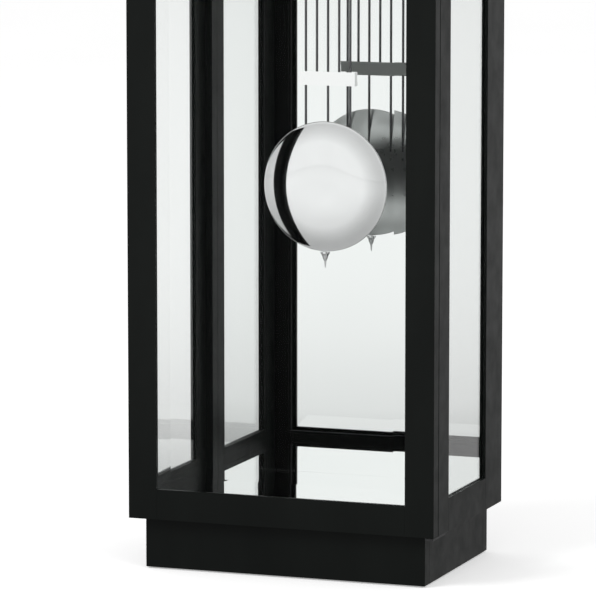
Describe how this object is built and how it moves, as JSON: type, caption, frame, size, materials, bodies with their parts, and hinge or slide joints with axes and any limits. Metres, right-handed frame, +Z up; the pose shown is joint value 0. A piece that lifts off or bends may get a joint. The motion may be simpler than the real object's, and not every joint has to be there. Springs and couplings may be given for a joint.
{
  "type": "grandfather clock",
  "caption": "Floor-standing pendulum clock: black glazed case with a hinged glass door, mirrored back, weights on cables, gridiron pendulum with a polished bob, and a round dial.",
  "frame": {"origin": "on the floor under the middle of the case", "axes": "+Z up, the glazed door faces -Y, +X to the right of someone facing the door"},
  "size_m": [0.44, 0.3133, 1.853],
  "materials": {
    "black_lacquer": "satin black lacquer",
    "pale_wood": "planed, unfinished",
    "steel": "brushed",
    "dark_steel": "drawn, darkened",
    "bright_metal": "polished nickel plate",
    "brass": "polished and lacquered",
    "clear_glass": "polished",
    "silvered_glass": "polished",
    "iron": "black enamelled",
    "dial_white": "fine satin",
    "dial_black": "gloss",
    "blued_steel": "fine ground",
    "cable": "stranded"
  },
  "bodies": {
    "case": {"plinth_front_rear": "black_lacquer", "plinth_sides": "black_lacquer", "plinth_blocks": "pale_wood", "levelling_feet": "steel", "case_floor": "black_lacquer", "floor_mirror": "silvered_glass", "side_stiles": "black_lacquer", "side_rails": "black_lacquer", "side_glass": "clear_glass", "glazing_beads": "black_lacquer", "back_panel": "black_lacquer", "back_mirror": "silvered_glass", "top_panel": "black_lacquer", "door_pivots": "iron", "magnet_catch": "steel", "seat_board": "pale_wood", "seat_rails": "black_lacquer", "movement_plates": "brass", "movement_posts": "brass", "suspension_cock": "brass", "suspension_spring": "blued_steel", "chime_block": "iron", "chime_rods": "brass", "dial_plate": "dial_white", "dial_bezel": "bright_metal", "hour_markers": "dial_black", "cable_left": "cable", "cable_middle": "cable", "cable_right": "cable"},
    "door": {"door_stiles": "black_lacquer", "door_rails": "black_lacquer", "door_glass": "clear_glass", "door_glass_beads": "black_lacquer", "door_knob": "bright_metal", "door_strike": "steel"},
    "hour": {"hour_hand": "dial_black", "hour_wheel": "brass"},
    "minute": {"minute_hand": "dial_black", "cannon_pinion": "brass"},
    "motion_wheel": {"minute_wheel": "brass"},
    "escape": {"escape_wheel": "brass"},
    "verge": {"anchor": "steel"},
    "left_drum": {"drum_left": "brass"},
    "middle_drum": {"drum_middle": "brass"},
    "right_drum": {"drum_right": "brass"},
    "left_weight": {"weight_left": "bright_metal"},
    "middle_weight": {"weight_middle": "bright_metal"},
    "right_weight": {"weight_right": "bright_metal"},
    "left_pulley": {"pulley_left": "brass"},
    "middle_pulley": {"pulley_middle": "brass"},
    "right_pulley": {"pulley_right": "brass"},
    "first_hammer": {"hammer_1": "brass"},
    "second_hammer": {"hammer_2": "brass"},
    "third_hammer": {"hammer_3": "brass"},
    "fourth_hammer": {"hammer_4": "brass"},
    "pendulum": {"pendulum_leader": "bright_metal", "pendulum_rods": "dark_steel", "pendulum_bar": "bright_metal", "pendulum_bob": "bright_metal", "rating_nut": "bright_metal"}
  },
  "joints": [
    {"name": "door_hinge", "type": "hinge", "parent": "case", "child": "door", "pos_m": [0.214, -0.1425, 0.9], "axis": [0, 0, 1], "range_deg": [0, 105]},
    {"name": "pendulum_swing", "type": "hinge", "parent": "case", "child": "pendulum", "pos_m": [0, 0.045, 1.557], "axis": [0, 1, 0], "range_deg": [-3.5, 3.5]},
    {"name": "verge_rock", "type": "hinge", "parent": "case", "child": "verge", "pos_m": [0, 0, 1.557], "axis": [0, 1, 0], "range_deg": [-4, 4]},
    {"name": "escape_turn", "type": "hinge", "parent": "case", "child": "escape", "pos_m": [0, -0.005, 1.535], "axis": [0, 1, 0], "continuous": true},
    {"name": "minute_hand_turn", "type": "hinge", "parent": "case", "child": "minute", "pos_m": [0, -0.07, 1.512], "axis": [0, 1, 0], "continuous": true},
    {"name": "hour_hand_turn", "type": "hinge", "parent": "case", "child": "hour", "pos_m": [0, -0.075, 1.512], "axis": [0, 1, 0], "continuous": true},
    {"name": "motion_wheel_turn", "type": "hinge", "parent": "case", "child": "motion_wheel", "pos_m": [-0.0192, -0.066, 1.512], "axis": [0, 1, 0], "continuous": true},
    {"name": "left_weight_drop", "type": "slide", "parent": "case", "child": "left_weight", "axis": [0, 0, -1], "range_m": [0, 0.72], "deforming": ["cable_left"]},
    {"name": "left_drum_turn", "type": "hinge", "parent": "case", "child": "left_drum", "pos_m": [-0.06, -0.023, 1.48], "axis": [0, 1, 0], "range_deg": [-1, 4827]},
    {"name": "left_pulley_turn", "type": "hinge", "parent": "left_weight", "child": "left_pulley", "pos_m": [-0.06, -0.023, 1.372], "axis": [0, 1, 0], "range_deg": [-2415, 1]},
    {"name": "middle_weight_drop", "type": "slide", "parent": "case", "child": "middle_weight", "axis": [0, 0, -1], "range_m": [0, 0.72], "deforming": ["cable_middle"]},
    {"name": "middle_drum_turn", "type": "hinge", "parent": "case", "child": "middle_drum", "pos_m": [0, -0.023, 1.48], "axis": [0, 1, 0], "range_deg": [-1, 4827]},
    {"name": "middle_pulley_turn", "type": "hinge", "parent": "middle_weight", "child": "middle_pulley", "pos_m": [0, -0.023, 1.372], "axis": [0, 1, 0], "range_deg": [-2415, 1]},
    {"name": "right_weight_drop", "type": "slide", "parent": "case", "child": "right_weight", "axis": [0, 0, -1], "range_m": [0, 0.72], "deforming": ["cable_right"]},
    {"name": "right_drum_turn", "type": "hinge", "parent": "case", "child": "right_drum", "pos_m": [0.06, -0.023, 1.48], "axis": [0, 1, 0], "range_deg": [-1, 4827]},
    {"name": "right_pulley_turn", "type": "hinge", "parent": "right_weight", "child": "right_pulley", "pos_m": [0.06, -0.023, 1.372], "axis": [0, 1, 0], "range_deg": [-2415, 1]},
    {"name": "first_hammer_lift", "type": "hinge", "parent": "case", "child": "first_hammer", "pos_m": [-0.06, 0.026, 1.452], "axis": [-1, 0, 0], "range_deg": [0, 10], "stiffness_Nm_per_rad": 0.15, "springref_deg": -20.05},
    {"name": "second_hammer_lift", "type": "hinge", "parent": "case", "child": "second_hammer", "pos_m": [-0.036, 0.026, 1.452], "axis": [-1, 0, 0], "range_deg": [0, 10], "stiffness_Nm_per_rad": 0.15, "springref_deg": -20.05},
    {"name": "third_hammer_lift", "type": "hinge", "parent": "case", "child": "third_hammer", "pos_m": [0.036, 0.026, 1.452], "axis": [-1, 0, 0], "range_deg": [0, 10], "stiffness_Nm_per_rad": 0.15, "springref_deg": -20.05},
    {"name": "fourth_hammer_lift", "type": "hinge", "parent": "case", "child": "fourth_hammer", "pos_m": [0.06, 0.026, 1.452], "axis": [-1, 0, 0], "range_deg": [0, 10], "stiffness_Nm_per_rad": 0.15, "springref_deg": -20.05}
  ],
  "couplings": [
    {"joint": "verge_rock", "follows": "pendulum_swing", "ratio": 1},
    {"joint": "hour_hand_turn", "follows": "minute_hand_turn", "ratio": 0.083333},
    {"joint": "motion_wheel_turn", "follows": "minute_hand_turn", "ratio": -0.33333},
    {"joint": "left_drum_turn", "follows": "left_weight_drop", "rad_per_m": 116.96},
    {"joint": "left_pulley_turn", "follows": "left_weight_drop", "rad_per_m": -58.48},
    {"joint": "middle_drum_turn", "follows": "middle_weight_drop", "rad_per_m": 116.96},
    {"joint": "middle_pulley_turn", "follows": "middle_weight_drop", "rad_per_m": -58.48},
    {"joint": "right_drum_turn", "follows": "right_weight_drop", "rad_per_m": 116.96},
    {"joint": "right_pulley_turn", "follows": "right_weight_drop", "rad_per_m": -58.48}
  ]
}
